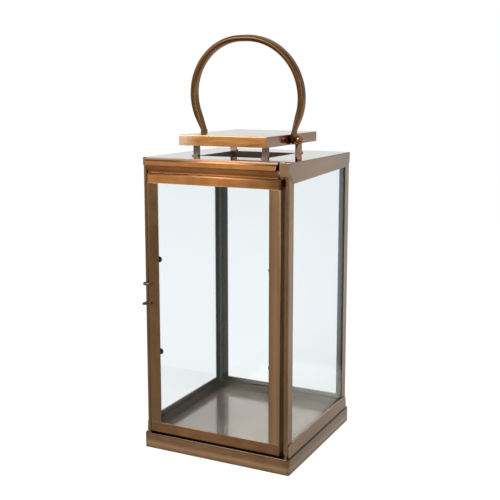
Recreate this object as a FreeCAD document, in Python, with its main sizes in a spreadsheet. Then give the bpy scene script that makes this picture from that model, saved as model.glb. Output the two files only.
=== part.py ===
"""Hurricane candle lantern: square sheet-metal frame, glass on four sides, hinged door in front.

Frame: +Z up, the door faces -Y, millimetres. The origin is the centre of the underside.
Every length comes from the sheet "sizes"; each sketch and placement is bound to its cells.
"""
import FreeCAD, Part
import math
import os
import Sketcher

Vector = FreeCAD.Vector
Rotation = FreeCAD.Rotation
Placement = FreeCAD.Placement

doc = FreeCAD.newDocument("hurricane_lantern")
sheet = doc.addObject("Spreadsheet::Sheet", "sizes")


# ---------------------------------------------------------------- lengths

class Size:
    """A length that knows its value and the sheet rule that gives it."""

    def __init__(self, value, rule):
        self.value = value
        self.rule = rule

    def __add__(self, other):
        other = as_size(other)
        return Size(self.value + other.value, f"({self.rule} + {other.rule})")

    def __sub__(self, other):
        other = as_size(other)
        return Size(self.value - other.value, f"({self.rule} - {other.rule})")

    def __mul__(self, other):
        other = as_size(other)
        return Size(self.value * other.value, f"({self.rule} * {other.rule})")

    def __truediv__(self, other):
        other = as_size(other)
        return Size(self.value / other.value, f"({self.rule} / {other.rule})")

    def __radd__(self, other):
        return as_size(other) + self

    def __rsub__(self, other):
        return as_size(other) - self

    def __rmul__(self, other):
        return as_size(other) * self

    def __neg__(self):
        return as_size(0) - self


def as_size(number):
    return number if isinstance(number, Size) else Size(float(number), repr(number))


def cosine(angle):
    return Size(math.cos(math.radians(angle.value)), f"cos({angle.rule} * 1 deg)")


def sine(angle):
    return Size(math.sin(math.radians(angle.value)), f"sin({angle.rule} * 1 deg)")


sheet_row = 0


def size(alias, value):
    """Put one driving length in the sheet and return it."""
    global sheet_row
    sheet_row += 1
    sheet.set(f"A{sheet_row}", alias)
    sheet.set(f"B{sheet_row}", str(value))
    sheet.setAlias(f"B{sheet_row}", alias)
    return Size(float(value), f"sizes.{alias}")


# base
plinth_half = size("plinth_half", 90)
plinth_top = size("plinth_top", 17.6)
plinth_sheet = size("plinth_sheet", 1.2)
plinth_corner = size("plinth_corner", 3)
# frame
gauge = size("gauge", 1)
edge_roll = size("edge_roll", 0.9)
body_half = size("body_half", 87.1)
frame_top = size("frame_top", 331.3)
seam_play = size("seam_play", 0.2)
post_leg = size("post_leg", 12)
front_lip = size("front_lip", 3.5)
stop_depth = size("stop_depth", 80)
stop_width = size("stop_width", 11)
sill_top = size("sill_top", 24)
head_stop = size("head_stop", 306)
# rails that hold the glass
channel_half = size("channel_half", 82.2)
foot_gap = size("foot_gap", 0.8)
foot_rail_top = size("foot_rail_top", 32.4)
foot_lip_top = size("foot_lip_top", 27)
foot_rail_out = size("foot_rail_out", 1.8)
foot_rail_in = size("foot_rail_in", 1)
rail_corner = size("rail_corner", 3)
foot_band_inset = size("foot_band_inset", 1.4)
head_rail_foot = size("head_rail_foot", 312.4)
right_rail_front_foot = size("right_rail_front_foot", 309)
right_rail_back_foot = size("right_rail_back_foot", 315)
head_rail_mitre = size("head_rail_mitre", 11)
head_lip_foot = size("head_lip_foot", 325)
band_gauge = size("band_gauge", 0.4)
flare = size("flare", 0.3)
corner_wrap_wide = size("corner_wrap_wide", 10.6)
corner_wrap_foot = size("corner_wrap_foot", 5)
front_lip_tall = size("front_lip_tall", 9.5)
front_lip_out = size("front_lip_out", 1.1)
front_lip_step = size("front_lip_step", 1.2)
front_lip_slope = size("front_lip_slope", 2.4)
front_lip_roll = size("front_lip_roll", 3)
front_lip_turn = size("front_lip_turn", 0.4)
front_lip_back = size("front_lip_back", 3)
front_lip_end = size("front_lip_end", 9)
front_lip_notch = size("front_lip_notch", 3)
cove_gap = size("cove_gap", 0.7)
cove_out = size("cove_out", 0.6)
cove_in = size("cove_in", 2.2)
cove_rise = size("cove_rise", 3.6)
# glass
pane_half = size("pane_half", 85.7)
pane_gauge = size("pane_gauge", 2)
pane_top = size("pane_top", 325)
clip_gauge = size("clip_gauge", 0.8)
clip_half = size("clip_half", 6)
clip_foot = size("clip_foot", 318.2)
clip_spread = size("clip_spread", 34)
# top plate, vent and cap
vent_half_wide = size("vent_half_wide", 42)
vent_half_deep = size("vent_half_deep", 42.6)
vent_left_shift = size("vent_left_shift", 2)
vent_flange = size("vent_flange", 8)
strap_wide = size("strap_wide", 8)
strap_gauge = size("strap_gauge", 1.5)
strap_foot = size("strap_foot", 5)
strap_out_wide = size("strap_out_wide", 42.3)
strap_out_deep = size("strap_out_deep", 43.7)
cap_half_wide = size("cap_half_wide", 52.9)
cap_half_deep = size("cap_half_deep", 68.4)
cap_foot = size("cap_foot", 344.2)
cap_top = size("cap_top", 355.7)
cap_edge = size("cap_edge", 0.8)
# handle
pivot_height = size("pivot_height", 349.9)
pivot_forward = size("pivot_forward", 5.2)
loop_height = size("loop_height", 396.9)
loop_radius = size("loop_radius", 63.5)
loop_dip = size("loop_dip", 20)
loop_flat_half = size("loop_flat_half", 3)
rod_deep = size("rod_deep", 12)
rod_thick = size("rod_thick", 7)
ear_thick = size("ear_thick", 2.8)
ear_half = size("ear_half", 5.5)
spacer_long = size("spacer_long", 1.9)
side_play = size("side_play", 0.2)
screw_radius = size("screw_radius", 2)
screw_tail = size("screw_tail", 6)
nut_corner = size("nut_corner", 4.04)
nut_thick = size("nut_thick", 3)
running_play = size("running_play", 0.06)
ball_radius = size("ball_radius", 4.7)
handle_lean = size("handle_lean", 5)
# door
door_left = size("door_left", 82.8)
door_right = size("door_right", 78.2)
door_foot = size("door_foot", 18.9)
door_top = size("door_top", 314)
door_face = size("door_face", 88.5)
door_depth = size("door_depth", 6.5)
door_roll = size("door_roll", 1.8)
stile_wide = size("stile_wide", 13)
left_stile_wide = size("left_stile_wide", 14.2)
foot_band = size("foot_band", 12.3)
head_band = size("head_band", 10.3)
pane_lap = size("pane_lap", 6.5)
door_clip_radius = size("door_clip_radius", 3.4)
door_clip_reach = size("door_clip_reach", 2)
door_clip_heel = size("door_clip_heel", 11)
door_clip_low = size("door_clip_low", 114)
door_clip_high = size("door_clip_high", 219)
hinge_side = size("hinge_side", 75.2)
hinge_depth = size("hinge_depth", 84.9)
pin_radius = size("pin_radius", 1.3)
pin_bite = size("pin_bite", 5)
# latch
pull_height = size("pull_height", 191.4)
pull_ball = size("pull_ball", 2.2)
pull_reach = size("pull_reach", 87.6)
hook_height = size("hook_height", 168.8)
hook_root = size("hook_root", 80)
hook_reach = size("hook_reach", 90.2)
hook_tall = size("hook_tall", 2.8)
hook_gauge = size("hook_gauge", 1.1)
hook_droop = size("hook_droop", 8)
finger_lap = size("finger_lap", 2.6)
rivet_radius = size("rivet_radius", 0.56)
rivet_head_radius = size("rivet_head_radius", 1.54)
rivet_head_tall = size("rivet_head_tall", 0.88)
pull_gap = size("pull_gap", 0.3)
stud_depth = size("stud_depth", 84.8)
stud_radius = size("stud_radius", 0.8)
stud_play = size("stud_play", 0.35)
stud_proud = size("stud_proud", 0.6)
notch_tall = size("notch_tall", 1.3)

# ---------------------------------------------------------------- building blocks

SIDES = {"left": -1, "right": 1}
ENDS = {"front": -1, "back": 1}


def new_body(label):
    body = doc.addObject("PartDesign::Body", label)
    body.Label = label
    return body


def new_sketch(body, plane_role, offset, tilt=None, tilted_at=None):
    """Sketch on one of the body's own origin planes, moved along its normal."""
    sketch = body.newObject("Sketcher::SketchObject", f"{body.Name}_outline")
    plane = [part for part in body.Origin.OriginFeatures if part.Role == plane_role][0]
    sketch.AttachmentSupport = [(plane, "")]
    sketch.MapMode = "FlatFace"
    if tilt is not None:
        sketch.AttachmentOffset = Placement(Vector(), Rotation(Vector(0, 1, 0), tilt))
        sketch.setExpression("AttachmentOffset.Base.x", tilted_at[0].rule)
        sketch.setExpression("AttachmentOffset.Base.z", tilted_at[1].rule)
    else:
        sketch.setExpression("AttachmentOffset.Base.z", as_size(offset).rule)
    return sketch


def fix_point(sketch, geometry, end, point):
    """Hold one point of the sketch at its two sheet lengths from the sketch's origin."""
    for kind, length in zip(("DistanceX", "DistanceY"), map(as_size, point)):
        index = sketch.addConstraint(
            Sketcher.Constraint(kind, -1, 1, geometry, end, length.value))
        sketch.setExpression(f"Constraints[{index}]", length.rule)


def fix_radius(sketch, geometry, radius):
    index = sketch.addConstraint(Sketcher.Constraint("Radius", geometry, radius.value))
    sketch.setExpression(f"Constraints[{index}]", radius.rule)


def outline(body, plane_role, points, offset=0):
    """Closed outline with straight sides through the points."""
    sketch = new_sketch(body, plane_role, offset)
    points = [(as_size(u), as_size(v)) for u, v in points]
    count = len(points)
    for index, (u, v) in enumerate(points):
        next_u, next_v = points[(index + 1) % count]
        start = Vector(u.value, v.value, 0)
        end = Vector(next_u.value, next_v.value, 0)
        sketch.addGeometry(Part.LineSegment(start, end))
    for index in range(count):
        sketch.addConstraint(Sketcher.Constraint("Coincident", index, 2, (index + 1) % count, 1))
    for index, point in enumerate(points):
        fix_point(sketch, index, 1, point)
    return sketch


def rectangle(body, plane_role, u_range, v_range, offset=0):
    (u_low, u_high), (v_low, v_high) = u_range, v_range
    corners = [(u_low, v_low), (u_high, v_low), (u_high, v_high), (u_low, v_high)]
    return outline(body, plane_role, corners, offset)


def circle(body, plane_role, centre, radius, offset=0):
    sketch = new_sketch(body, plane_role, offset)
    centre = tuple(map(as_size, centre))
    middle = Vector(centre[0].value, centre[1].value, 0)
    sketch.addGeometry(Part.Circle(middle, Vector(0, 0, 1), radius.value))
    fix_point(sketch, 0, 3, centre)
    fix_radius(sketch, 0, radius)
    return sketch


def oval(sketch, centre, half_long, radius, upright):
    """Bar section with round ends, its long way along the sketch's Y if upright."""
    centre = tuple(map(as_size, centre))
    reach = half_long - radius
    quarter = math.pi / 2
    for index, way in enumerate((1, -1)):
        middle = (centre[0], centre[1] + way * reach) if upright else (
            centre[0] + way * reach, centre[1])
        arc_circle = Part.Circle(
            Vector(middle[0].value, middle[1].value, 0), Vector(0, 0, 1), radius.value)
        turn = (quarter if upright else 0) + (0 if way > 0 else math.pi)
        sketch.addGeometry(Part.ArcOfCircle(arc_circle, turn - quarter, turn + quarter))
        fix_point(sketch, index, 3, middle)
        fix_radius(sketch, index, radius)
    for first, second in ((0, 1), (1, 0)):
        line = Part.LineSegment(
            sketch.Geometry[first].EndPoint, sketch.Geometry[second].StartPoint)
        index = sketch.addGeometry(line)
        sketch.addConstraint(Sketcher.Constraint("Coincident", first, 2, index, 1))
        sketch.addConstraint(Sketcher.Constraint("Coincident", index, 2, second, 1))
    level = "Horizontal" if upright else "Vertical"
    for arc in (0, 1):
        for end in (1, 2):
            sketch.addConstraint(Sketcher.Constraint(level, arc, 3, arc, end))


def pad(body, sketch, length, both_ways=False, backwards=False):
    feature = body.newObject("PartDesign::Pad", f"{body.Name}_pad")
    feature.Profile = sketch
    feature.setExpression("Length", as_size(length).rule)
    feature.Midplane = both_ways
    feature.Reversed = backwards
    return feature


def pocket(body, sketch, length, both_ways=False, backwards=False):
    """Cut the sketch out of the body, and stop if nothing was cut."""
    doc.recompute()
    volume = body.Shape.Volume
    feature = body.newObject("PartDesign::Pocket", f"{body.Name}_pocket")
    feature.Profile = sketch
    feature.setExpression("Length", as_size(length).rule)
    feature.Midplane = both_ways
    feature.Reversed = backwards
    doc.recompute()
    if not body.Shape.Volume < volume - 1e-3:
        raise RuntimeError(f"{body.Label}: the pocket cut nothing")
    return feature


def revolve(body, sketch, angle, backwards=False):
    """Turn the sketch about its first construction line."""
    feature = body.newObject("PartDesign::Revolution", f"{body.Name}_turned")
    feature.Profile = sketch
    feature.ReferenceAxis = (sketch, ["Axis0"])
    feature.setExpression("Angle", as_size(angle).rule)
    feature.Reversed = backwards
    return feature


def dress(body, kind, amount, wanted):
    """Fillet or chamfer the edges that wanted() picks."""
    doc.recompute()
    names = [f"Edge{number}" for number, edge in enumerate(body.Shape.Edges, 1)
             if wanted(edge)]
    if not names:
        raise RuntimeError(f"{body.Label}: no edge to {kind}")
    base = body.Tip
    feature = body.newObject(f"PartDesign::{kind}", f"{body.Name}_{kind.lower()}")
    feature.Base = (base, names)
    feature.setExpression("Radius" if kind == "Fillet" else "Size", as_size(amount).rule)
    return feature


def along(edge, axis):
    """True for a straight edge that runs along the axis (0, 1 or 2)."""
    if len(edge.Vertexes) != 2 or edge.Curve.TypeId != "Part::GeomLine":
        return False
    way = edge.Vertexes[1].Point - edge.Vertexes[0].Point
    return abs(way[axis]) > 0.999 * way.Length


def passes(edge, **place):
    """True where the middle of the edge has the given coordinates."""
    middle = edge.BoundBox.Center
    return all(abs(getattr(middle, name) - length.value) < 0.01
               for name, length in place.items())


def block(label, x_range, y_range, z_range):
    """Plain rectangular bar or plate."""
    body = new_body(label)
    low, high = z_range
    pad(body, rectangle(body, "XY_Plane", x_range, y_range, low), high - low)
    return body


# ---------------------------------------------------------------- base

def make_base():
    plinth = new_body("base_plinth")
    square = (-plinth_half, plinth_half)
    inside = plinth_half - plinth_sheet
    pad(plinth, rectangle(plinth, "XY_Plane", square, square), plinth_top)
    dress(plinth, "Fillet", plinth_corner, lambda edge: along(edge, 2))
    dress(plinth, "Fillet", plinth_sheet,
          lambda edge: abs(edge.BoundBox.ZMin - plinth_top.value) < 0.01)
    hollow = rectangle(plinth, "XY_Plane", (-inside, inside), (-inside, inside))
    pocket(plinth, hollow, plinth_top - plinth_sheet, backwards=True)
    socket_place = (hinge_side, -hinge_depth)
    socket = circle(plinth, "XY_Plane", socket_place, pin_radius, plinth_top)
    pocket(plinth, socket, plinth_sheet)
    inner_corner = plinth_corner - plinth_sheet
    dress(plinth, "Fillet", inner_corner,
          lambda edge: along(edge, 2) and abs(abs(edge.BoundBox.Center.x) - inside.value) < 0.01)

    plate = new_body("base_bottom_plate")
    pad(plate, rectangle(plate, "XY_Plane", (-inside, inside), (-inside, inside)), plinth_sheet)
    dress(plate, "Fillet", inner_corner, lambda edge: along(edge, 2))

    block("floor_plate", (-channel_half, channel_half), (gauge - stop_depth, channel_half),
          (plinth_top, plinth_top + gauge))


# ---------------------------------------------------------------- frame

def make_posts():
    outer = body_half
    inner = body_half - gauge
    plate_foot = frame_top - gauge
    for side, way in SIDES.items():
        front = new_body(f"corner_post_front_{side}")
        lip_edge = outer - front_lip
        front_section = [
            (way * lip_edge, -outer), (way * outer, -outer), (way * outer, post_leg - outer),
            (way * inner, post_leg - outer), (way * inner, -inner), (way * lip_edge, -inner)]
        pad(front, outline(front, "XY_Plane", front_section, plinth_top), plate_foot - plinth_top)
        back = new_body(f"corner_post_back_{side}")
        back_section = [
            (way * outer, outer), (way * outer, outer - post_leg),
            (way * inner, outer - post_leg), (way * inner, inner),
            (way * (outer - post_leg), inner), (way * (outer - post_leg), outer)]
        pad(back, outline(back, "XY_Plane", back_section, plinth_top), plate_foot - plinth_top)
        for post, end in ((front, -1), (back, 1)):
            dress(post, "Fillet", edge_roll,
                  lambda edge: along(edge, 2) and passes(edge, x=way * outer, y=end * outer))

        stop_edges = sorted((way * inner, way * (inner - stop_width)), key=lambda s: s.value)
        block(f"door_stop_{side}", stop_edges, (-stop_depth, gauge - stop_depth),
              (plinth_top, head_stop))
    sill_half = inner - stop_width
    block("front_sill", (-sill_half, sill_half), (-stop_depth, gauge - stop_depth),
          (plinth_top, sill_top))


def foot_rail(label, turn, lip_half):
    """Bottom rail: an outer band over the posts and a channel for the glass between them."""
    body = new_body(label)
    outer = body_half
    inner = body_half - gauge
    between = body_half - post_leg - seam_play
    seat_half = pane_half + seam_play
    floor = plinth_top + gauge
    band_foot = plinth_top + foot_gap
    channel = [
        (channel_half, plinth_top), (outer, plinth_top), (outer, band_foot),
        (outer + foot_rail_out, band_foot), (outer + foot_rail_in, foot_rail_top),
        (inner, foot_rail_top), (inner, floor), (channel_half + gauge, floor),
        (channel_half + gauge, foot_lip_top), (channel_half, foot_lip_top)]
    band = [
        (outer, band_foot), (outer + foot_rail_out, band_foot),
        (outer + foot_rail_in, foot_rail_top), (outer, foot_rail_top)]
    ledge = [
        (channel_half, plinth_top), (seat_half, plinth_top), (seat_half, floor),
        (channel_half + gauge, floor), (channel_half + gauge, foot_lip_top),
        (channel_half, foot_lip_top)]
    band_half = body_half - foot_band_inset
    pad(body, outline(body, "XZ_Plane", band), 2 * band_half, both_ways=True)
    dress(body, "Chamfer", rail_corner,
          lambda edge: along(edge, 0) and abs(edge.BoundBox.ZMin - foot_rail_top.value) < 0.01)
    pad(body, outline(body, "XZ_Plane", channel), 2 * between, both_ways=True)
    pad(body, outline(body, "XZ_Plane", ledge), 2 * lip_half, both_ways=True)
    body.Placement = Placement(Vector(), Rotation(Vector(0, 0, 1), turn))
    return body


def head_rail(label, turn, foot):
    """Top rail: a flared band with mitred lower corners, and a channel for the glass."""
    body = new_body(label)
    outer = body_half
    inner = body_half - gauge
    between = body_half - post_leg - seam_play
    plate_foot = frame_top - gauge
    shoulder = frame_top - 2 * gauge
    band = [
        (outer, foot), (outer + band_gauge, foot),
        (outer + band_gauge + flare, plate_foot), (outer + band_gauge, frame_top),
        (outer, frame_top)]
    channel = [
        (inner, foot), (outer, foot), (outer, plate_foot),
        (channel_half, plate_foot), (channel_half, head_lip_foot),
        (channel_half + gauge, head_lip_foot), (channel_half + gauge, shoulder),
        (inner, shoulder)]
    pad(body, outline(body, "XZ_Plane", band), 2 * outer, both_ways=True)
    dress(body, "Chamfer", head_rail_mitre,
          lambda edge: along(edge, 0) and abs(edge.BoundBox.ZMax - foot.value) < 0.01)
    pad(body, outline(body, "XZ_Plane", channel), 2 * between, both_ways=True)
    body.Placement = Placement(Vector(), Rotation(Vector(0, 0, 1), turn))
    return body


def make_front_head_rail():
    """Front top rail: a rounded lip over a cove, and the strip the door's head rests on."""
    body = new_body("top_rail_front")
    reach = body_half - front_lip - seam_play / 2
    lip_end = reach - front_lip_end
    face = door_face + front_lip_out
    slope_top = front_lip_slope - face
    rolled = front_lip_step - face
    under = frame_top - front_lip_tall
    plate_foot = frame_top - gauge
    hem = front_lip_back + gauge - body_half
    step_low = under + front_lip_step
    step_high = frame_top - front_lip_slope
    cove_foot = door_top + cove_gap
    cove_bend = cove_foot + cove_rise
    cove_face = cove_out - body_half
    cove_back = cove_in - body_half
    strip_back = gauge - stop_depth
    cove = [
        (-stop_depth, head_stop), (-stop_depth, cove_foot), (cove_back, cove_foot),
        (cove_face + gauge / 2, cove_bend), (cove_face, under),
        (cove_face + gauge, under + gauge), (cove_face + 3 * gauge / 2, cove_bend),
        (cove_back + gauge, cove_foot + gauge), (-stop_depth, cove_foot + gauge),
        (-stop_depth, plate_foot), (strip_back, plate_foot), (strip_back, head_stop)]
    lip = [
        (hem, frame_top), (slope_top, frame_top), (-face, step_high), (-face, step_low),
        (rolled, under), (cove_face + gauge, under), (cove_face + gauge, under + gauge),
        (rolled + front_lip_turn, under + gauge), (gauge - face, step_low + front_lip_turn),
        (gauge - face, step_high - front_lip_turn), (slope_top + front_lip_turn, plate_foot),
        (hem, plate_foot)]
    pad(body, outline(body, "YZ_Plane", cove, -reach), 2 * reach)
    pad(body, outline(body, "YZ_Plane", lip, -reach), reach + lip_end)
    dress(body, "Fillet", front_lip_roll,
          lambda edge: along(edge, 0) and (passes(edge, y=slope_top, z=frame_top)
                                           or passes(edge, y=-face, z=step_high)))
    dress(body, "Fillet", edge_roll,
          lambda edge: along(edge, 0) and (passes(edge, y=rolled, z=under)
                                           or passes(edge, y=-face, z=step_low)))
    notch_out = lip_end + seam_play
    notch_low = under - seam_play
    corner = [(lip_end - front_lip_notch, notch_low), (notch_out, notch_low),
              (notch_out, frame_top - gauge)]
    pocket(body, outline(body, "XZ_Plane", corner, door_face), 4 * gauge, both_ways=True)
    bore = circle(body, "XY_Plane", (hinge_side, -hinge_depth), pin_radius, plate_foot)
    pocket(body, bore, plate_foot - head_stop)


def make_rails():
    side_half = stop_depth - gauge - seam_play
    foot_rail("bottom_rail_right", 0, side_half)
    foot_rail("bottom_rail_left", 180, side_half)
    foot_rail("bottom_rail_back", 90, channel_half - seam_play)
    head_rail("top_rail_left", 180, head_rail_foot)
    head_rail("top_rail_back", 90, head_rail_foot)
    right = head_rail("top_rail_right", 0, right_rail_front_foot)
    wedge = [(-body_half, right_rail_front_foot), (body_half, right_rail_front_foot),
             (body_half, right_rail_back_foot)]
    outside = body_half + band_gauge + flare
    pocket(right, outline(right, "YZ_Plane", wedge, outside), 3 * gauge)
    wrap = rectangle(right, "XZ_Plane", (body_half - corner_wrap_wide, body_half + band_gauge),
                     (head_rail_foot + corner_wrap_foot, frame_top), body_half)
    pad(right, wrap, gauge)
    make_front_head_rail()


def make_top_plate():
    body = new_body("top_plate")
    foot = frame_top - gauge
    front = body_half - gauge - front_lip_back
    pad(body, rectangle(body, "XY_Plane", (-body_half, body_half), (-front, body_half), foot), gauge)
    vent_left = -vent_left_shift - vent_half_wide
    vent_right = vent_half_wide - vent_left_shift
    flange_wide = (vent_left - gauge, vent_right + gauge)
    flange_deep = (-vent_half_deep - gauge, vent_half_deep + gauge)
    flange = rectangle(body, "XY_Plane", flange_wide, flange_deep, foot - vent_flange)
    pad(body, flange, vent_flange)
    vent = rectangle(body, "XY_Plane", (vent_left, vent_right), (-vent_half_deep, vent_half_deep),
                     foot)
    pocket(body, vent, 4 * vent_flange, both_ways=True)


# ---------------------------------------------------------------- glass

def make_glass():
    low = pane_half - pane_gauge
    floor = plinth_top + gauge
    for side, way in SIDES.items():
        faces = sorted((way * low, way * pane_half), key=lambda s: s.value)
        block(f"glass_{side}", faces, (gauge - stop_depth + seam_play, low - seam_play),
              (floor, pane_top))
    block("glass_back", (seam_play - low, low - seam_play), (low, pane_half), (floor, pane_top))


def make_pane_clips():
    """Two round-ended clips hang from each glass-holding top rail."""
    for name, turn in (("right", 0), ("left", 180), ("back", 90)):
        body = new_body(f"glass_clips_{name}")
        for way in (-1, 1):
            middle = way * clip_spread
            tab_foot = clip_foot + clip_half
            tab = rectangle(body, "YZ_Plane", (middle - clip_half, middle + clip_half),
                            (tab_foot, frame_top - gauge), channel_half - clip_gauge)
            pad(body, tab, clip_gauge)
            end = circle(body, "YZ_Plane", (middle, tab_foot), clip_half,
                         channel_half - clip_gauge)
            pad(body, end, clip_gauge)
        body.Placement = Placement(Vector(), Rotation(Vector(0, 0, 1), turn))


# ---------------------------------------------------------------- vent cap

def make_cap():
    cap = new_body("vent_cap")
    wide = (-cap_half_wide, cap_half_wide)
    deep = (-cap_half_deep, cap_half_deep)
    pad(cap, rectangle(cap, "XY_Plane", wide, deep, cap_foot), cap_top - cap_foot)
    dress(cap, "Fillet", cap_edge,
          lambda edge: along(edge, 2) or edge.BoundBox.ZMin > cap_top.value - 0.01)
    hollow = rectangle(cap, "XY_Plane", (gauge - cap_half_wide, cap_half_wide - gauge),
                       (gauge - cap_half_deep, cap_half_deep - gauge), cap_foot)
    pocket(cap, hollow, cap_top - cap_foot - gauge, backwards=True)
    screw_holes = circle(cap, "YZ_Plane", (-pivot_forward, pivot_height), screw_radius)
    pocket(cap, screw_holes, 3 * cap_half_wide, both_ways=True)

    for end, deep_way in ENDS.items():
        for side, way in SIDES.items():
            body = new_body(f"vent_strap_{end}_{side}")
            start = way * strap_out_wide - strap_wide / 2 - vent_left_shift
            near = deep_way * strap_out_deep
            far = deep_way * (strap_out_deep + strap_gauge)
            foot_tip = deep_way * (strap_out_deep + strap_foot)
            tab_tip = deep_way * (strap_out_deep - strap_foot)
            section = [
                (near, frame_top), (foot_tip, frame_top), (foot_tip, frame_top + strap_gauge),
                (far, frame_top + strap_gauge), (far, cap_top - gauge),
                (tab_tip, cap_top - gauge), (tab_tip, cap_top - gauge - strap_gauge),
                (near, cap_top - gauge - strap_gauge)]
            pad(body, outline(body, "YZ_Plane", section, start), strap_wide)


# ---------------------------------------------------------------- handle

def turning_axis(sketch, across, high, reach=1):
    """Construction line that a revolution turns about, through the given point."""
    ends = [(across - reach, high), (across + reach, high)]
    start, end = (Vector(as_size(u).value, v.value, 0) for u, v in ends)
    axis = sketch.addGeometry(Part.LineSegment(start, end), True)
    for number, point in enumerate(ends, 1):
        fix_point(sketch, axis, number, point)


def ball(body, across, high, radius, offset=0):
    """Sphere turned from a half disc on the body's XZ plane."""
    sketch = new_sketch(body, "XZ_Plane", offset)
    middle = Vector(across.value, high.value, 0)
    rim = Part.Circle(middle, Vector(0, 0, 1), radius.value)
    sketch.addGeometry(Part.ArcOfCircle(rim, 0, math.pi))
    fix_point(sketch, 0, 3, (across, high))
    fix_radius(sketch, 0, radius)
    arc = sketch.Geometry[0]
    sketch.addGeometry(Part.LineSegment(arc.EndPoint, arc.StartPoint))
    sketch.addConstraint(Sketcher.Constraint("Coincident", 0, 2, 1, 1))
    sketch.addConstraint(Sketcher.Constraint("Coincident", 1, 2, 0, 1))
    sketch.addConstraint(Sketcher.Constraint("Horizontal", 0, 3, 0, 1))
    sketch.addConstraint(Sketcher.Constraint("Horizontal", 0, 3, 0, 2))
    turning_axis(sketch, across, high)
    revolve(body, sketch, 360)


def make_handle():
    body = new_body("handle")
    half_deep = rod_deep / 2
    half_thick = rod_thick / 2
    ear_face = cap_half_wide + spacer_long + side_play
    ear_middle = ear_face + ear_thick / 2
    end_out = loop_flat_half + loop_radius * cosine(loop_dip)
    end_high = loop_height - loop_radius * sine(loop_dip)
    kink_high = end_high - (end_out - ear_middle) * cosine(loop_dip) / sine(loop_dip)
    crown = loop_height + loop_radius

    middle = new_sketch(body, "YZ_Plane", 0)
    oval(middle, (0, crown), half_deep, half_thick, upright=False)
    pad(body, middle, 2 * loop_flat_half, both_ways=True)
    for way in (1, -1):
        shoulder = new_sketch(body, "YZ_Plane", way * loop_flat_half)
        oval(shoulder, (0, crown), half_deep, half_thick, upright=False)
        turning_axis(shoulder, 0, loop_height)
        revolve(body, shoulder, 90 + loop_dip, backwards=way < 0)
        upper = new_sketch(body, "XY_Plane", 0, way * loop_dip.value, (way * end_out, end_high))
        oval(upper, (0, 0), half_deep, half_thick, upright=True)
        lower = new_sketch(body, "XY_Plane", 0, 0, (way * ear_middle, kink_high))
        oval(lower, (0, 0), ear_half, ear_thick / 2, upright=True)
        taper = body.newObject("PartDesign::AdditiveLoft", "handle_taper")
        taper.Profile = upper
        taper.Sections = [lower]
        ear_start = way * ear_middle - ear_thick / 2
        ear = rectangle(body, "YZ_Plane", (-ear_half, ear_half), (pivot_height, kink_high), ear_start)
        pad(body, ear, ear_thick)
        pad(body, circle(body, "YZ_Plane", (0, pivot_height), ear_half, ear_start), ear_thick)
    bore = circle(body, "YZ_Plane", (0, pivot_height), screw_radius + running_play)
    pocket(body, bore, 4 * cap_half_wide, both_ways=True)
    lean = Rotation(Vector(1, 0, 0), handle_lean.value)
    pivot = Vector(0, 0, pivot_height.value)
    forward = Vector(0, -pivot_forward.value, 0)
    body.Placement = Placement(forward, Rotation()) * Placement(Vector(), lean, pivot)

    for side, way in SIDES.items():
        make_handle_pivot(side, way, ear_face + ear_thick + side_play)


def make_handle_pivot(side, way, ball_seat):
    """Ball-headed screw through ear, spacer and cap wall, with a nut inside the cap."""
    centre = (-pivot_forward, pivot_height)
    screw = new_body(f"handle_screw_{side}")
    tail = cap_half_wide - screw_tail
    ball_middle = ball_seat + ball_radius
    shank = circle(screw, "YZ_Plane", centre, screw_radius, way * tail)
    pad(screw, shank, ball_middle - tail, backwards=way < 0)
    ball(screw, way * ball_middle, pivot_height, ball_radius, pivot_forward)

    spacer = new_body(f"handle_spacer_{side}")
    start = way * cap_half_wide
    ring = circle(spacer, "YZ_Plane", centre, 2 * screw_radius, start)
    pad(spacer, ring, spacer_long, backwards=way < 0)
    bore = circle(spacer, "YZ_Plane", centre, screw_radius, start)
    pocket(spacer, bore, 3 * spacer_long, both_ways=True)

    nut = new_body(f"handle_nut_{side}")
    corners = [(centre[0] + nut_corner * math.cos(math.radians(60 * turn)),
                centre[1] + nut_corner * math.sin(math.radians(60 * turn)))
               for turn in range(6)]
    inner_wall = way * (cap_half_wide - gauge)
    pad(nut, outline(nut, "YZ_Plane", corners, inner_wall), nut_thick, backwards=way > 0)
    bore = circle(nut, "YZ_Plane", centre, screw_radius, inner_wall)
    pocket(nut, bore, 3 * nut_thick, both_ways=True)


# ---------------------------------------------------------------- door

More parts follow.
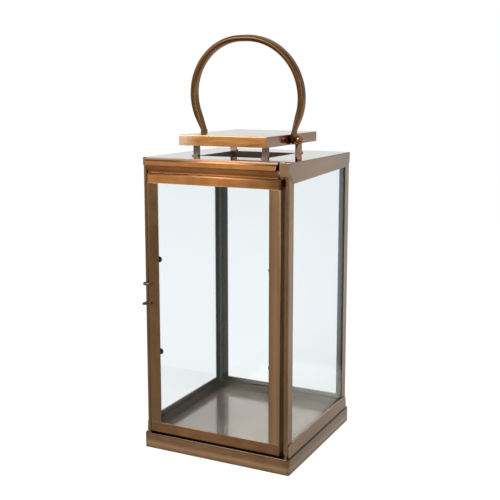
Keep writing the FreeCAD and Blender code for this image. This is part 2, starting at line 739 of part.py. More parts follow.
def make_door_frame():
    face = -door_face
    skin = gauge - door_face
    rim = door_depth - door_face
    low_seam = door_foot + foot_band
    high_seam = door_top - head_band
    rails = {"door_rail_bottom": (door_foot, low_seam, door_foot, door_foot + gauge),
             "door_rail_top": (high_seam, door_top, door_top - gauge, door_top)}
    for label, (low, high, rim_low, rim_high) in rails.items():
        body = new_body(label)
        section = [(-door_left, face), (door_right, face), (door_right, rim),
                   (door_right - gauge, rim), (door_right - gauge, skin),
                   (gauge - door_left, skin), (gauge - door_left, rim), (-door_left, rim)]
        pad(body, outline(body, "XY_Plane", section, low), high - low)
        rim_plate = rectangle(body, "XY_Plane", (-door_left, door_right), (face, rim), rim_low)
        pad(body, rim_plate, rim_high - rim_low)
        hinge = circle(body, "XY_Plane", (hinge_side, -hinge_depth), pin_radius + running_play,
                       (rim_low + rim_high) / 2)
        pocket(body, hinge, 3 * gauge, both_ways=True)
        outer_z = rim_low if label == "door_rail_bottom" else rim_high
        dress(body, "Fillet", door_roll,
              lambda edge: along(edge, 0) and passes(edge, y=face, z=outer_z)
              or along(edge, 2) and passes(edge, y=face)
              and abs(edge.BoundBox.Center.x) > hinge_side.value)
    stiles = {"left": (-1, door_left, left_stile_wide), "right": (1, door_right, stile_wide)}
    for side, (way, edge_out, wide) in stiles.items():
        body = new_body(f"door_stile_{side}")
        section = [(way * edge_out, face), (way * edge_out, rim), (way * (edge_out - gauge), rim),
                   (way * (edge_out - gauge), skin), (way * (edge_out - wide), skin),
                   (way * (edge_out - wide), face)]
        pad(body, outline(body, "XY_Plane", section, low_seam), high_seam - low_seam)
        dress(body, "Fillet", door_roll,
              lambda edge: along(edge, 2) and passes(edge, x=way * edge_out, y=face))


def make_door_glass():
    skin = gauge - door_face
    pane_back = skin + pane_gauge
    low_seam = door_foot + foot_band
    high_seam = door_top - head_band
    left = left_stile_wide - door_left
    right = door_right - stile_wide
    block("door_glass", (left - pane_lap, right + pane_lap), (skin, pane_back),
          (low_seam - pane_lap, high_seam + pane_lap))

    clips = new_body("door_glass_clips")
    for inner, way in ((left, 1), (right, -1)):
        root = inner - way * door_clip_heel
        outside = inner - way * (pane_lap + seam_play)
        tip = inner - way * (door_clip_radius - door_clip_reach)
        for height in (door_clip_low, door_clip_high):
            tall = (height - door_clip_radius, height + door_clip_radius)
            heel_range = sorted((root, outside), key=lambda s: s.value)
            heel = rectangle(clips, "XZ_Plane", heel_range, tall, -pane_back)
            pad(clips, heel, pane_gauge)
            tab_range = sorted((root, tip), key=lambda s: s.value)
            tab = rectangle(clips, "XZ_Plane", tab_range, tall, -pane_back)
            pad(clips, tab, clip_gauge, backwards=True)
            end = circle(clips, "XZ_Plane", (tip, height), door_clip_radius, -pane_back)
            pad(clips, end, clip_gauge, backwards=True)


def make_hinge_pins():
    top = new_body("hinge_pin_top")
    place = (hinge_side, -hinge_depth)
    pad(top, circle(top, "XY_Plane", place, pin_radius, door_top - pin_bite),
        frame_top - gauge - door_top + pin_bite)
    bottom = new_body("hinge_pin_bottom")
    pad(bottom, circle(bottom, "XY_Plane", place, pin_radius, plinth_top - plinth_sheet),
        door_foot + pin_bite - plinth_top + plinth_sheet)


# ---------------------------------------------------------------- latch

def make_latch():
    """Ball-ended pull and swinging hook on the door's left edge, stud on the post."""
    arm_depth = door_face + pull_ball + pull_gap
    stem = pull_ball / 2
    pull = new_body("door_pull")
    root = circle(pull, "XZ_Plane", (-hook_root, pull_height), stem, door_face)
    pad(pull, root, arm_depth - door_face)
    arm = circle(pull, "YZ_Plane", (-arm_depth, pull_height), stem, stem - hook_root)
    pad(pull, arm, pull_reach - hook_root - pull_ball + stem, backwards=True)
    ball(pull, pull_ball - pull_reach, pull_height, pull_ball, arm_depth)

    hook = new_body("latch_hook")
    near = door_face + side_play
    far = near + hook_gauge
    half_tall = hook_tall / 2
    hook_foot = hook_height - half_tall
    finger_back = stud_depth - finger_lap
    notch_half = stud_radius + stud_play
    eye = circle(hook, "XZ_Plane", (-hook_root, hook_height), half_tall, near)
    pad(hook, eye, hook_gauge)
    arm = rectangle(hook, "XZ_Plane", (-hook_reach, -hook_root),
                    (hook_foot, hook_height + half_tall), near)
    pad(hook, arm, hook_gauge)
    finger = rectangle(hook, "XY_Plane", (-hook_reach, hook_gauge - hook_reach),
                       (-far, -finger_back), hook_foot)
    pad(hook, finger, hook_tall)
    notch = rectangle(hook, "YZ_Plane", (-stud_depth - notch_half, notch_half - stud_depth),
                      (hook_foot - notch_tall, hook_foot + notch_tall), -hook_reach)
    pocket(hook, notch, 3 * hook_gauge, both_ways=True)
    bore = circle(hook, "XZ_Plane", (-hook_root, hook_height), rivet_radius + running_play, near)
    pocket(hook, bore, 5 * hook_gauge, both_ways=True)
    droop = Rotation(Vector(0, 1, 0), -hook_droop.value)
    hook.Placement = Placement(Vector(), droop, Vector(-hook_root.value, 0, hook_height.value))

    rivet = new_body("latch_rivet")
    shank = circle(rivet, "XZ_Plane", (-hook_root, hook_height), rivet_radius, door_face)
    pad(rivet, shank, hook_gauge + 2 * side_play)
    head = circle(rivet, "XZ_Plane", (-hook_root, hook_height), rivet_head_radius, far + side_play)
    pad(rivet, head, rivet_head_tall)
    dress(rivet, "Fillet", rivet_head_tall * 0.75,
          lambda edge: passes(edge, y=-(far + side_play + rivet_head_tall)))

    stud = new_body("latch_stud")
    stud_height = hook_foot - notch_half
    pad(stud, circle(stud, "YZ_Plane", (-stud_depth, stud_height), stud_radius, -body_half),
        hook_reach - body_half + stud_proud, backwards=True)


# ---------------------------------------------------------------- build, check, write

def write_parts():
    doc.recompute()
    for item in doc.Objects:
        if "Invalid" in item.State or "Error" in item.State:
            raise RuntimeError(f"{item.Label} did not compute: {item.State}")
    os.makedirs("parts", exist_ok=True)
    bodies = [item for item in doc.Objects if item.TypeId == "PartDesign::Body"]
    for body in bodies:
        shape = body.Shape
        if shape.isNull() or not shape.isValid():
            raise RuntimeError(f"{body.Label} has no valid shape")
        shape.exportStep(f"parts/{body.Label}.step")
        print(f"{body.Label}: {len(shape.Solids)} solid(s), {shape.Volume:.1f} mm3")
    print(f"{len(bodies)} nodes")


make_base()
make_posts()
make_rails()
make_top_plate()
make_glass()
make_pane_clips()
make_cap()
make_handle()
make_door_frame()
make_door_glass()
make_hinge_pins()
make_latch()
write_parts()
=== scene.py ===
"""Looks of the hurricane candle lantern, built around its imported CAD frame.

Metres, +Z up, the door faces -Y. Places on the lantern come from the frame's own boxes.
"""
import math

import bmesh
import bpy
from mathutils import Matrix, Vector

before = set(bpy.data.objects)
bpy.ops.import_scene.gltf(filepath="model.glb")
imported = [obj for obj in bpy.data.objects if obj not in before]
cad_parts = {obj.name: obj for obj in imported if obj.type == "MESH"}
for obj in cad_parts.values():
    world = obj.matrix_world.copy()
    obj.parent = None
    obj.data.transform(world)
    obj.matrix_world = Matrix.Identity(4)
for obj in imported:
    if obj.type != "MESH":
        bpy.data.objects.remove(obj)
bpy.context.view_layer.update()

MM = 0.001
AXES = "XYZ"


def box(name):
    """Lowest and highest corner of a CAD node, in the frame's metres."""
    points = [vertex.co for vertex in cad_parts[name].data.vertices]
    lowest = Vector(min(point[axis] for point in points) for axis in range(3))
    highest = Vector(max(point[axis] for point in points) for axis in range(3))
    return lowest, highest


# ---------------------------------------------------------------- shader building

class Shader:
    """A node material built one node at a time."""

    def __init__(self, name):
        self.material = bpy.data.materials.new(name)
        self.material.use_nodes = True
        self.tree = self.material.node_tree
        self.tree.nodes.clear()
        self.place = self.node("ShaderNodeTexCoord")

    def node(self, kind, **settings):
        node = self.tree.nodes.new(kind)
        for name, value in settings.items():
            setattr(node, name, value)
        return node

    def feed(self, socket, value):
        """Link an output into the socket, or set it to a constant."""
        if isinstance(value, bpy.types.NodeSocket):
            self.tree.links.new(value, socket)
        else:
            socket.default_value = value

    def math(self, operation, first, second=0.0):
        node = self.node("ShaderNodeMath", operation=operation)
        self.feed(node.inputs[0], first)
        self.feed(node.inputs[1], second)
        return node.outputs[0]

    def vector(self, operation, first, second=(0, 0, 0)):
        node = self.node("ShaderNodeVectorMath", operation=operation)
        self.feed(node.inputs[0], first)
        self.feed(node.inputs[1], second)
        return node.outputs["Value" if operation == "DOT_PRODUCT" else "Vector"]

    def spread(self, value, low, high, new_low=0.0, new_high=1.0):
        """Stretch low..high to new_low..new_high, and clamp."""
        node = self.node("ShaderNodeMapRange", clamp=True)
        for socket, given in zip(node.inputs, (value, low, high, new_low, new_high)):
            self.feed(socket, given)
        return node.outputs[0]

    def blend(self, factor, first, second, mode="MIX"):
        node = self.node("ShaderNodeMix", data_type="RGBA", blend_type=mode)
        self.feed(node.inputs["Factor"], factor)
        self.feed(node.inputs[6], first)
        self.feed(node.inputs[7], second)
        return node.outputs[2]

    def along(self, axis):
        """Distance along one axis of the frame."""
        parts = self.node("ShaderNodeSeparateXYZ")
        self.feed(parts.inputs[0], self.place.outputs["Object"])
        return parts.outputs[axis]

    def noise(self, scale, detail=3.0, stretch=(1, 1, 1), roughness=0.5, seed=0.0):
        """Noise in the frame's metres; a small stretch along an axis draws the pattern out along it."""
        scaled = self.vector("MULTIPLY", self.place.outputs["Object"], stretch)
        node = self.node("ShaderNodeTexNoise", noise_dimensions="4D")
        self.feed(node.inputs["Vector"], scaled)
        self.feed(node.inputs["W"], seed)
        self.feed(node.inputs["Scale"], scale)
        self.feed(node.inputs["Detail"], detail)
        self.feed(node.inputs["Roughness"], roughness)
        return node.outputs["Fac"]

    def bump(self, height, distance, strength=1.0, after=None):
        node = self.node("ShaderNodeBump")
        self.feed(node.inputs["Height"], height)
        self.feed(node.inputs["Distance"], distance)
        self.feed(node.inputs["Strength"], strength)
        if after is not None:
            self.feed(node.inputs["Normal"], after)
        return node.outputs["Normal"]

    def worn_and_highlit_edges(self, radius):
        """1 on sharp outer edges, where hands and cloths rub the finish thin and where a painted edge
        highlight goes.
        """
        rounded = self.node("ShaderNodeBevel", samples=6)
        self.feed(rounded.inputs["Radius"], radius)
        true = self.node("ShaderNodeNewGeometry")
        agreement = self.vector("DOT_PRODUCT", rounded.outputs["Normal"], true.outputs["Normal"])
        return self.spread(agreement, 0.97, 0.80)

    def facing_in(self):
        """1 on walls that face the lantern's middle, 0 on outer walls."""
        level = self.vector("MULTIPLY", self.place.outputs["Object"], (1, 1, 0))
        outwards = self.vector("NORMALIZE", level)
        agreement = self.vector("DOT_PRODUCT", outwards, self.place.outputs["Normal"])
        return self.spread(agreement, -0.05, -0.45)

    def painted_light_by_direction(self, colour, faces):
        """Painted light and shade: change the tone of the faces that look along each given direction.
        """
        for direction, tone in faces:
            agreement = self.vector("DOT_PRODUCT", self.place.outputs["Normal"], direction)
            colour = self.blend(self.spread(agreement, 0.8, 0.95), colour, tone)
        return colour

    def finish(self, shader):
        output = self.node("ShaderNodeOutputMaterial")
        self.tree.links.new(shader, output.inputs["Surface"])
        return self.material


def streaked(axis, along=0.02):
    """Stretch that draws noise out into lines along one axis."""
    return tuple(along if name == axis else 1.0 for name in AXES)


# ---------------------------------------------------------------- materials

DEEP = (0.29, 0.155, 0.064, 1)
WARM = (0.42, 0.230, 0.100, 1)
WORN_AND_HIGHLIGHT = (0.82, 0.54, 0.33, 1)
PAINTED_SHADE_TONE = (0.02, 0.012, 0.006, 1)
INNER = (0.105, 0.120, 0.125, 1)
INNER_RAIL = (0.088, 0.086, 0.078, 1)

UP = (0, 0, 1)
RIGHT = (1, 0, 0)
FORWARD = (0, -1, 0)
UP_AND_FORWARD = (0, -0.45, 0.89)


def bronze(name, brushed_along, deep, warm, worn, inner, gloss=(0.26, 0.38), coat=1.0, grain=1.0,
           painted_highlight_band=None, painted_shade=None, wear=0.8 * MM, faces=()):
    """Lacquered antique copper-bronze sheet, brushed along one axis, dull and dark on its inner side.

    painted_highlight_band: axis, start, middle and end of a band made lighter by painted highlight, and
    its tone.
    fade: axis, start and end of the stretch over which painted shade darkens the finish, and how much.
    wear: how far the lighter edge, wear and painted edge highlight, reaches in from an edge.
    faces: directions and the tones of the faces that look that way, painted light and shade.
    """
    shader = Shader(name)
    cloud = shader.noise(14, detail=4, roughness=0.6)
    mottle = shader.noise(75, detail=5, roughness=0.65, seed=3.0)
    lines = shader.noise(520, detail=4, stretch=streaked(brushed_along), seed=7.0)
    tone = shader.math("ADD", shader.math("MULTIPLY", cloud, 0.55),
                       shader.math("MULTIPLY", mottle, 0.45))
    colour = shader.blend(shader.spread(tone, 0.36, 0.64), deep, warm)
    line_shade = shader.spread(lines, 0.3, 0.7, 1 - 0.10 * grain, 1 + 0.07 * grain)
    tinted = shader.node("ShaderNodeCombineColor")
    for socket in tinted.inputs[:3]:
        shader.feed(socket, line_shade)
    colour = shader.blend(1.0, colour, tinted.outputs[0], mode="MULTIPLY")
    # Painted highlight: a lighter band along one axis.
    if painted_highlight_band is not None:
        axis, start, middle, end, band_tone = painted_highlight_band
        band = shader.math("MULTIPLY", shader.spread(shader.along(axis), start, middle),
                           shader.spread(shader.along(axis), end, middle))
        colour = shader.blend(band, colour, band_tone)
    # Painted light and shade on the faces that look along given directions.
    colour = shader.painted_light_by_direction(colour, faces)
    # Lighter edges: wear, and painted highlight on the edges.
    colour = shader.blend(shader.math("MULTIPLY", shader.worn_and_highlit_edges(wear), 0.7), colour, worn)
    # Painted shade: the finish darkens along one axis.
    if painted_shade is not None:
        axis, start, end, amount = painted_shade
        colour = shader.blend(shader.spread(shader.along(axis), start, end, 0.0, amount), colour, PAINTED_SHADE_TONE)
    inwards = shader.facing_in()
    colour = shader.blend(inwards, colour, inner)
    waves = shader.bump(shader.noise(22, detail=2, seed=11.0), 0.5 * MM, 0.4)
    brushed = shader.bump(lines, 0.02 * MM, 0.4 * grain, after=waves)
    metal = shader.node("ShaderNodeBsdfPrincipled")
    shader.feed(metal.inputs["Base Color"], colour)
    shader.feed(metal.inputs["Metallic"], 1.0)
    shader.feed(metal.inputs["Roughness"], shader.spread(
        shader.math("ADD", mottle, shader.math("MULTIPLY", lines, 0.5)), 0.5, 1.0, *gloss))
    shader.feed(metal.inputs["Normal"], brushed)
    shader.feed(metal.inputs["Anisotropic"], 0.75)
    shader.feed(metal.inputs["Anisotropic Rotation"], 0.0 if brushed_along == "Z" else 0.25)
    shader.feed(metal.inputs["Tangent"],
                shader.node("ShaderNodeTangent", direction_type="RADIAL", axis="Z").outputs[0])
    shader.feed(metal.inputs["Coat Weight"], shader.spread(inwards, 0.0, 1.0, coat, 0.15 * coat))
    shader.feed(metal.inputs["Coat Roughness"], 0.16)
    shader.feed(metal.inputs["Coat IOR"], 1.5)
    return shader.finish(metal.outputs[0])


def polished(name, colour, shade, wiped_along, gloss=(0.04, 0.12), coat=0.8, inner=None,
             faces=(), painted_highlight_end=None, metallic=1.0):
    """Mirror-polished lacquered copper, slightly wavy and faintly wiped.

    inner: the duller tone of its inner side.
    faces: directions and the tones of the faces that look that way, painted light and shade.
    painted_highlight_end: start and end along X of the stretch over which it turns paler with a painted
    highlight, and that tone.
    """
    shader = Shader(name)
    cloud = shader.noise(16, detail=4, roughness=0.6)
    wipes = shader.noise(160, detail=5, stretch=streaked(wiped_along, 0.12), seed=5.0)
    tone = shader.blend(shader.spread(cloud, 0.35, 0.65), shade, colour)
    waves = shader.bump(shader.noise(18, detail=1, seed=2.0), 0.4 * MM, 0.35)
    roughness = shader.spread(wipes, 0.35, 0.7, *gloss)
    metal = shader.node("ShaderNodeBsdfPrincipled")
    # Painted highlight: paler towards one end along X.
    if painted_highlight_end is not None:
        start, end, pale = painted_highlight_end
        tone = shader.blend(shader.spread(shader.along("X"), start, end), tone, pale)
    # Painted light and shade on the faces that look along given directions.
    tone = shader.painted_light_by_direction(tone, faces)
    if inner is not None:
        inwards = shader.facing_in()
        tone = shader.blend(inwards, tone, inner)
        roughness = shader.math("ADD", roughness, shader.math("MULTIPLY", inwards, 0.4))
        shader.feed(metal.inputs["Metallic"], shader.spread(inwards, 0.0, 1.0, metallic, 0.3))
    else:
        shader.feed(metal.inputs["Metallic"], metallic)
    shader.feed(metal.inputs["Base Color"], tone)
    shader.feed(metal.inputs["Roughness"], roughness)
    shader.feed(metal.inputs["Normal"], waves)
    shader.feed(metal.inputs["Coat Weight"], coat)
    shader.feed(metal.inputs["Coat Roughness"], 0.03)
    shader.feed(metal.inputs["Coat IOR"], 1.5)
    return shader.finish(metal.outputs[0])


def clear_glass(name, thin_axis):
    """Clear pane: light passes straight through its faces, and its cut edges are green-grey."""
    shader = Shader(name)
    slope = shader.node("ShaderNodeLayerWeight")
    shader.feed(slope.inputs["Blend"], 0.5)
    grazing = shader.math("POWER", slope.outputs["Facing"], 5.0)
    mirror = shader.math("ADD", shader.math("MULTIPLY", grazing, 0.96), 0.04)
    across = tuple(1.0 if name == thin_axis else 0.0 for name in AXES)
    square_on = shader.math(
        "ABSOLUTE", shader.vector("DOT_PRODUCT", shader.place.outputs["Normal"], across))
    smudge = shader.spread(shader.noise(30, detail=5, roughness=0.65), 0.5, 0.85, 0.0, 0.05)
    through = shader.node("ShaderNodeBsdfTransparent")
    shader.feed(through.inputs["Color"], (0.974, 0.991, 0.997, 1))
    shine = shader.node("ShaderNodeBsdfAnisotropic")
    shader.feed(shine.inputs["Color"], (1, 1, 1, 1))
    shader.feed(shine.inputs["Roughness"], shader.math("ADD", smudge, 0.01))
    face = shader.node("ShaderNodeMixShader")
    shader.feed(face.inputs[0], mirror)
    shader.feed(face.inputs[1], through.outputs[0])
    shader.feed(face.inputs[2], shine.outputs[0])
    rim = shader.node("ShaderNodeBsdfPrincipled")
    shader.feed(rim.inputs["Base Color"], shader.blend(
        shader.noise(240, detail=2), (0.10, 0.20, 0.20, 1), (0.30, 0.42, 0.42, 1)))
    shader.feed(rim.inputs["Roughness"], 0.2)
    pane = shader.node("ShaderNodeMixShader")
    shader.feed(pane.inputs[0], shader.math("GREATER_THAN", square_on, 0.5))
    shader.feed(pane.inputs[1], rim.outputs[0])
    shader.feed(pane.inputs[2], face.outputs[0])
    return shader.finish(pane.outputs[0])


def bronze_finishes():
    """Brushed finishes of the folded sheets, straps, handle and small dark fittings, several with
    painted light and shade.
    """
    half = box("base_plinth")[1].x
    plinth_top = box("base_plinth")[1].z
    handle_top = box("handle")[1].z
    stile_left, stile_right = (corner.x for corner in box("door_stile_right"))
    finish = {
        "X": bronze("antique_bronze_x", "X", DEEP, WARM, WORN_AND_HIGHLIGHT, INNER_RAIL),
        "Y": bronze("antique_bronze_y", "Y", DEEP, WARM, WORN_AND_HIGHLIGHT, INNER_RAIL),
        "Z": bronze("antique_bronze_z", "Z", DEEP, WARM, WORN_AND_HIGHLIGHT, INNER),
    }
    # Painted shade: the right top rail darkens towards the back, and its front end is darker.
    finish["right_head"] = bronze(
        "antique_bronze_right_head", "Y", DEEP, WARM, WORN_AND_HIGHLIGHT, INNER_RAIL,
        painted_shade=("Y", 0, half - 5 * MM, 0.4), faces=((FORWARD, (0.20, 0.12, 0.06, 1)),))
    # Painted highlight: a lighter band along the door's right edge.
    finish["hinge_stile"] = bronze(
        "antique_bronze_hinge_stile", "Z", DEEP, WARM, WORN_AND_HIGHLIGHT, INNER,
        painted_highlight_band=("X", stile_left - 3 * MM, stile_right - 5 * MM, stile_right + 2 * MM,
                (0.62, 0.385, 0.215, 1)))
    # Painted highlight: a lighter band low on the plinth. Painted shade: its edges take a dark tone
    # instead of a lighter worn one, and its top edge darkens.
    finish["plinth"] = bronze(
        "antique_bronze_plinth", "X", (0.25, 0.125, 0.048, 1), (0.36, 0.185, 0.074, 1),
        (0.20, 0.11, 0.05, 1), WARM,
        painted_highlight_band=("Z", 0.085 * plinth_top, 0.34 * plinth_top, 0.57 * plinth_top,
                (0.50, 0.315, 0.175, 1)),
        painted_shade=("Z", plinth_top - 2 * MM, plinth_top - 0.8 * MM, 0.85))
    # Painted shade: the door's bottom rail is a darker copy of the bronze and darkens towards the
    # right.
    finish["foot"] = bronze(
        "antique_bronze_foot", "X", (0.235, 0.108, 0.035, 1), (0.34, 0.162, 0.058, 1),
        (0.56, 0.36, 0.21, 1), INNER_RAIL, painted_shade=("X", 0, half - 5 * MM, 0.15))
    # Painted light: the lip and the door's head darken towards the right (painted shade), and faces
    # looking up and forward and their wide edges are paler (painted highlight).
    for name, painted_darkening in (("lip", 0.2), ("head", 0.75)):
        finish[name] = bronze(
            f"antique_bronze_{name}", "X", (0.30, 0.125, 0.036, 1), (0.44, 0.19, 0.060, 1),
            (0.95, 0.68, 0.46, 1), INNER_RAIL, coat=0.5, wear=1.5 * MM,
            painted_shade=("X", 10 * MM, half - 2 * MM, painted_darkening),
            faces=((UP_AND_FORWARD, (0.84, 0.53, 0.32, 1)),))
    # Painted shade: the handle darkens towards its crown.
    finish["handle"] = bronze(
        "antique_bronze_handle", "Z", (0.20, 0.095, 0.036, 1), (0.32, 0.155, 0.062, 1),
        (0.50, 0.28, 0.14, 1), DEEP, coat=0.12, grain=0.3,
        painted_shade=("Z", handle_top - 24 * MM, handle_top - 6 * MM, 0.45))
    # The back right strap gets a lighter copy of the strap finish: painted highlight.
    for name, deep, warm in (("strap", (0.13, 0.10, 0.078, 1), (0.20, 0.155, 0.12, 1)),
                             ("painted_highlight_strap", (0.34, 0.26, 0.20, 1), (0.46, 0.36, 0.28, 1))):
        finish[name] = bronze(f"antique_bronze_{name}", "Z", deep, warm, (0.5, 0.36, 0.25, 1), warm,
                              coat=0.3)
    # Painted highlight: the door stops are a lighter copy of the bronze.
    finish["stop"] = bronze("antique_bronze_stop", "Z", (0.50, 0.38, 0.25, 1), (0.66, 0.52, 0.36, 1),
                            WORN_AND_HIGHLIGHT, WARM)
    finish["dark"] = bronze("dark_bronze", "Z", (0.05, 0.04, 0.032, 1), (0.11, 0.08, 0.055, 1),
                            (0.3, 0.2, 0.13, 1), INNER, gloss=(0.3, 0.5), coat=0.2)
    return finish


def polished_finishes():
    """Polished finishes of the cap, the two plates and the bright small fittings; the cap carries
    painted light and shade.
    """
    cap_left = box("vent_cap")[0].x
    return {
        # Painted light and shade: the cap's top is paler, its right side darker and its left end paler.
        "cap": polished(
            "polished_copper_cap", (0.82, 0.39, 0.135, 1), (0.72, 0.32, 0.105, 1), "X",
            gloss=(0.10, 0.20), coat=0.4,
            faces=((UP, (0.81, 0.69, 0.62, 1)), (RIGHT, (0.42, 0.26, 0.155, 1))),
            painted_highlight_end=(cap_left + 23 * MM, cap_left + 7 * MM, (0.95, 0.66, 0.47, 1))),
        "top": polished("polished_copper_top", (0.72, 0.55, 0.435, 1), (0.64, 0.485, 0.38, 1), "X",
                        inner=(0.19, 0.14, 0.085, 1)),
        "floor": polished("polished_floor", (0.62, 0.49, 0.385, 1), (0.53, 0.415, 0.32, 1), "X",
                          gloss=(0.16, 0.26), coat=1.0, metallic=0.6),
        "latch": polished("dark_brass_latch", (0.24, 0.17, 0.12, 1), (0.17, 0.12, 0.085, 1), "X",
                          gloss=(0.2, 0.3), coat=0.3),
        "copper": polished("copper_fittings", (0.56, 0.31, 0.15, 1), (0.44, 0.23, 0.11, 1), "Y",
                           gloss=(0.24, 0.34), coat=0.3),
    }


def make_materials():
    return {
        **bronze_finishes(),
        **polished_finishes(),
        "glass_x": clear_glass("clear_glass_side", "X"),
        "glass_y": clear_glass("clear_glass_front_back", "Y"),
    }


NODE_FINISH = {
    "base_plinth": "plinth", "base_bottom_plate": "dark", "floor_plate": "floor",
    "corner_post_front_left": "Z", "corner_post_front_right": "Z",
    "corner_post_back_left": "Z", "corner_post_back_right": "Z",
    "door_stop_left": "stop", "door_stop_right": "stop", "front_sill": "X",
    "bottom_rail_left": "Y", "bottom_rail_right": "Y", "bottom_rail_back": "X",
    "top_rail_left": "Y", "top_rail_right": "right_head", "top_rail_back": "X", "top_rail_front": "lip",
    "top_plate": "top", "vent_cap": "cap",
    "vent_strap_front_left": "strap", "vent_strap_front_right": "strap",
    "vent_strap_back_left": "strap", "vent_strap_back_right": "painted_highlight_strap",
    "glass_left": "glass_x", "glass_right": "glass_x", "glass_back": "glass_y",
    "glass_clips_left": "dark", "glass_clips_right": "dark", "glass_clips_back": "dark",
    "handle": "handle", "handle_screw_left": "copper", "handle_screw_right": "copper",
    "handle_spacer_left": "dark", "handle_spacer_right": "dark",
    "handle_nut_left": "dark", "handle_nut_right": "dark",
    "door_rail_bottom": "foot", "door_rail_top": "head",
    "door_stile_left": "Z", "door_stile_right": "hinge_stile",
    "door_glass": "glass_y", "door_glass_clips": "dark",
    "hinge_pin_top": "dark", "hinge_pin_bottom": "dark",
    "door_pull": "latch", "latch_hook": "latch", "latch_rivet": "latch", "latch_stud": "latch",
}

ROUND_NODES = ("handle", "handle_screw_left", "handle_screw_right", "door_pull", "latch_rivet")
WELD_REACH = 0.002 * MM
EDGE_ROUNDING = 0.22 * MM
SHARP_EDGE = math.radians(40)


def dress_frame(finish):
    """Give each CAD node its finish, and the folded sheets a fine rounded edge."""
    for name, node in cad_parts.items():
        node.data.materials.clear()
        node.data.materials.append(finish[NODE_FINISH[name]])
        if NODE_FINISH[name].startswith("glass") or name in ROUND_NODES:
            continue
        weld = node.modifiers.new("joined_corners", "WELD")
        weld.merge_threshold = WELD_REACH
        soften = node.modifiers.new("soft_edges", "BEVEL")
        soften.width = EDGE_ROUNDING
        soften.segments = 2
        soften.limit_method = "ANGLE"
        soften.angle_limit = SHARP_EDGE
        soften.harden_normals = True


# ---------------------------------------------------------------- studio

FLOOR_RADIUS = 6


def make_floor():
    """Pale studio floor that stays dim in the metal's reflections, where it glows darker near the
    lantern as a painted shadow.
    """
    shader = Shader("pale_floor")
    grain = shader.noise(3, detail=3)
    pale = shader.node("ShaderNodeBsdfPrincipled")
    shader.feed(pale.inputs["Base Color"],
                shader.blend(grain, (0.16, 0.16, 0.16, 1), (0.18, 0.18, 0.18, 1)))
    shader.feed(pale.inputs["Roughness"], 0.9)
    shader.feed(pale.inputs["Specular IOR Level"], 0.0)
    shader.feed(pale.inputs["Emission Color"], (1, 1, 1, 1))
    shader.feed(pale.inputs["Emission Strength"], 0.955)
    reach = shader.node("ShaderNodeVectorMath", operation="LENGTH")
    shader.feed(reach.inputs[0], shader.place.outputs["Object"])
    behind = shader.spread(shader.along("Y"), -0.35, 0.25)
    to_right = shader.spread(shader.along("X"), -0.9, 0.1)
    front = shader.blend(to_right, (0.24, 0.22, 0.19, 1), (0.46, 0.41, 0.34, 1))
    far_tone = shader.blend(behind, front, (0.66, 0.69, 0.71, 1))
    # Painted shadow: in reflections the floor is darker near the lantern.
    painted_shadow_near = shader.blend(behind, (0.28, 0.25, 0.21, 1), (0.54, 0.54, 0.53, 1))
    dim = shader.node("ShaderNodeEmission")
    shader.feed(dim.inputs["Color"], shader.blend(
        shader.spread(reach.outputs["Value"], 0.2, 0.6), painted_shadow_near, far_tone))
    seen = shader.node("ShaderNodeLightPath")
    surface = shader.node("ShaderNodeMixShader")
    shader.feed(surface.inputs[0], seen.outputs["Is Camera Ray"])
    shader.feed(surface.inputs[1], dim.outputs[0])
    shader.feed(surface.inputs[2], pale.outputs[0])
    mesh = bpy.data.meshes.new("floor")
    shape = bmesh.new()
    bmesh.ops.create_circle(shape, cap_ends=True, segments=96, radius=FLOOR_RADIUS)
    shape.to_mesh(mesh)
    shape.free()
    mesh.materials.append(shader.finish(surface.outputs[0]))
    floor = bpy.data.objects.new("floor", mesh)
    bpy.context.scene.collection.objects.link(floor)


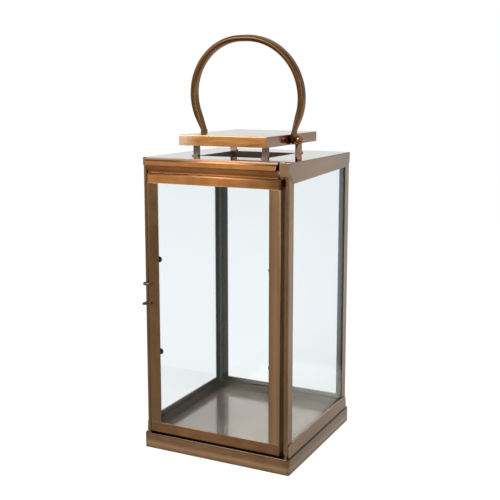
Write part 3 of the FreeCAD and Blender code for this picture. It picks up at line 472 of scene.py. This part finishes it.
def make_world():
    """White room: bright and cool behind, dimmer on the right, in front and overhead."""
    world = bpy.data.worlds.new("studio")
    world.use_nodes = True
    tree = world.node_tree
    tree.nodes.clear()
    link = tree.links.new
    direction = tree.nodes.new("ShaderNodeTexCoord")
    parts = tree.nodes.new("ShaderNodeSeparateXYZ")
    link(direction.outputs["Generated"], parts.inputs[0])

    def ramp(source, low, high):
        node = tree.nodes.new("ShaderNodeMapRange")
        node.interpolation_type = "SMOOTHSTEP"
        node.inputs["From Min"].default_value = low
        node.inputs["From Max"].default_value = high
        link(source, node.inputs["Value"])
        return node.outputs[0]

    def blend(factor, first, second):
        node = tree.nodes.new("ShaderNodeMix")
        node.data_type = "RGBA"
        link(factor, node.inputs["Factor"])
        for socket, value in ((node.inputs[6], first), (node.inputs[7], second)):
            if isinstance(value, bpy.types.NodeSocket):
                link(value, socket)
            else:
                socket.default_value = value
        return node.outputs[2]

    back = blend(ramp(parts.outputs["X"], 0.05, 0.55), (0.76, 0.78, 0.79, 1), (0.34, 0.34, 0.34, 1))
    level = blend(ramp(parts.outputs["Y"], -0.75, 0.35), (0.24, 0.22, 0.20, 1), back)
    room = blend(ramp(parts.outputs["Z"], 0.45, 0.85), level, (0.20, 0.19, 0.18, 1))
    seen = tree.nodes.new("ShaderNodeLightPath")
    backdrop = blend(seen.outputs["Is Camera Ray"], room, (1, 1, 1, 1))
    background = tree.nodes.new("ShaderNodeBackground")
    link(backdrop, background.inputs["Color"])
    output = tree.nodes.new("ShaderNodeOutputWorld")
    link(background.outputs[0], output.inputs["Surface"])
    bpy.context.scene.world = world


def make_softbox(name, place, target, width, height, power, colour=(1, 1, 1)):
    light = bpy.data.lights.new(name, "AREA")
    light.shape = "RECTANGLE"
    light.size = width
    light.size_y = height
    light.energy = power
    light.color = colour
    box = bpy.data.objects.new(name, light)
    box.location = place
    box.rotation_euler = (Vector(target) - Vector(place)).to_track_quat("-Z", "Y").to_euler()
    bpy.context.scene.collection.objects.link(box)


def make_lights():
    middle = (0, 0, 0.2)
    make_softbox("softbox_above", (-0.1, 0.1, 2.0), middle, 1.4, 1.4, 9)
    make_softbox("softbox_high_front", (-0.95, -1.85, 1.5), middle, 1.0, 0.9, 26, (1.0, 0.97, 0.93))
    make_softbox("softbox_front", (-1.05, -1.95, 0.57), (0, 0, 0.35), 1.3, 0.6, 4.8, (1.0, 0.97, 0.94))
    make_softbox("softbox_right", (1.9, -0.93, 0.5), middle, 0.35, 1.5, 6, (1.0, 0.95, 0.88))


def make_camera():
    """Three-quarter view from the front right, from a little above the lantern's middle."""
    azimuth = math.radians(26.397)
    elevation = math.radians(8.937)
    distance = 1.0158
    aim = Vector((-0.00033, -0.00016, 0.25024))
    back = Vector((math.sin(azimuth) * math.cos(elevation),
                   -math.cos(azimuth) * math.cos(elevation), math.sin(elevation)))
    lens = bpy.data.cameras.new("camera")
    lens.sensor_width = 36
    lens.lens = 63.68
    lens.shift_y = -0.05
    lens.clip_start = 0.05
    lens.clip_end = 50
    camera = bpy.data.objects.new("camera", lens)
    camera.location = aim + back * distance
    camera.rotation_euler = (-back).to_track_quat("-Z", "Y").to_euler()
    bpy.context.scene.collection.objects.link(camera)
    bpy.context.scene.camera = camera


finish = make_materials()
dress_frame(finish)
make_floor()
make_world()
make_lights()
make_camera()
bpy.context.scene.view_settings.view_transform = "Standard"
